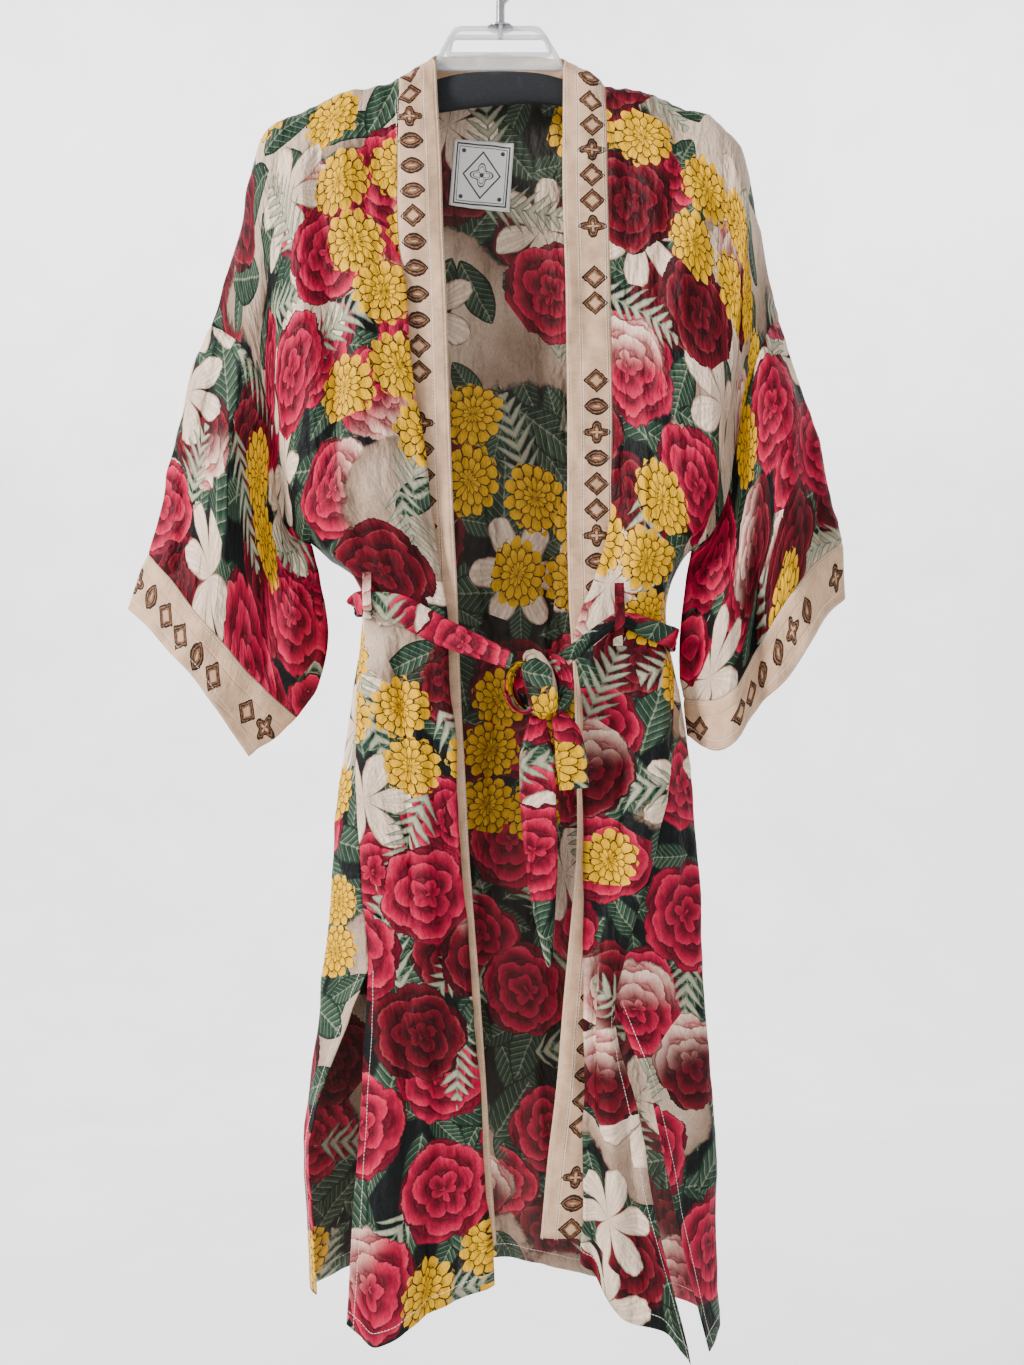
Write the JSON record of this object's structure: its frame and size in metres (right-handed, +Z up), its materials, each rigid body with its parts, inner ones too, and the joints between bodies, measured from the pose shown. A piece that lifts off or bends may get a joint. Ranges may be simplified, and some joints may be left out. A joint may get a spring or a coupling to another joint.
{
  "type": "duster kimono on a hanger",
  "caption": "Long open-front kimono with wide dropped sleeves, banded edges and a tied sash, hanging on a padded hanger.",
  "frame": {"origin": "inner top of the hanger's hook, where a rail carries it", "axes": "+X to the viewer's right, the wearer's left; +Y away from the viewer, towards the garment's back; +Z up"},
  "size_m": [0.6796, 0.1316, 1.3179],
  "materials": {
    "printed_cloth": "soft satin print on thin viscose",
    "band_cloth": "matt woven band with printed ornament and rows of stitching",
    "label_cloth": "smooth woven patch",
    "foam": "matt closed-cell foam",
    "clear_plastic": "clear moulded plastic",
    "hook_steel": "bright plated wire"
  },
  "bodies": {
    "root": {"back": "printed_cloth", "front_right": "printed_cloth", "front_left": "printed_cloth", "sleeve_right": "printed_cloth", "sleeve_left": "printed_cloth", "cuff_right": "band_cloth", "cuff_left": "band_cloth", "band_right": "band_cloth", "band_left": "band_cloth", "band_neck": "band_cloth", "belt_right": "printed_cloth", "belt_left": "printed_cloth", "belt_back": "printed_cloth", "belt_knot": "printed_cloth", "belt_tail_long": "printed_cloth", "belt_tail_short": "printed_cloth", "belt_loop_right": "printed_cloth", "belt_loop_left": "printed_cloth", "label": "label_cloth", "hanger_pad": "foam", "hanger_frame": "clear_plastic", "hanger_hook": "hook_steel"}
  },
  "joints": []
}
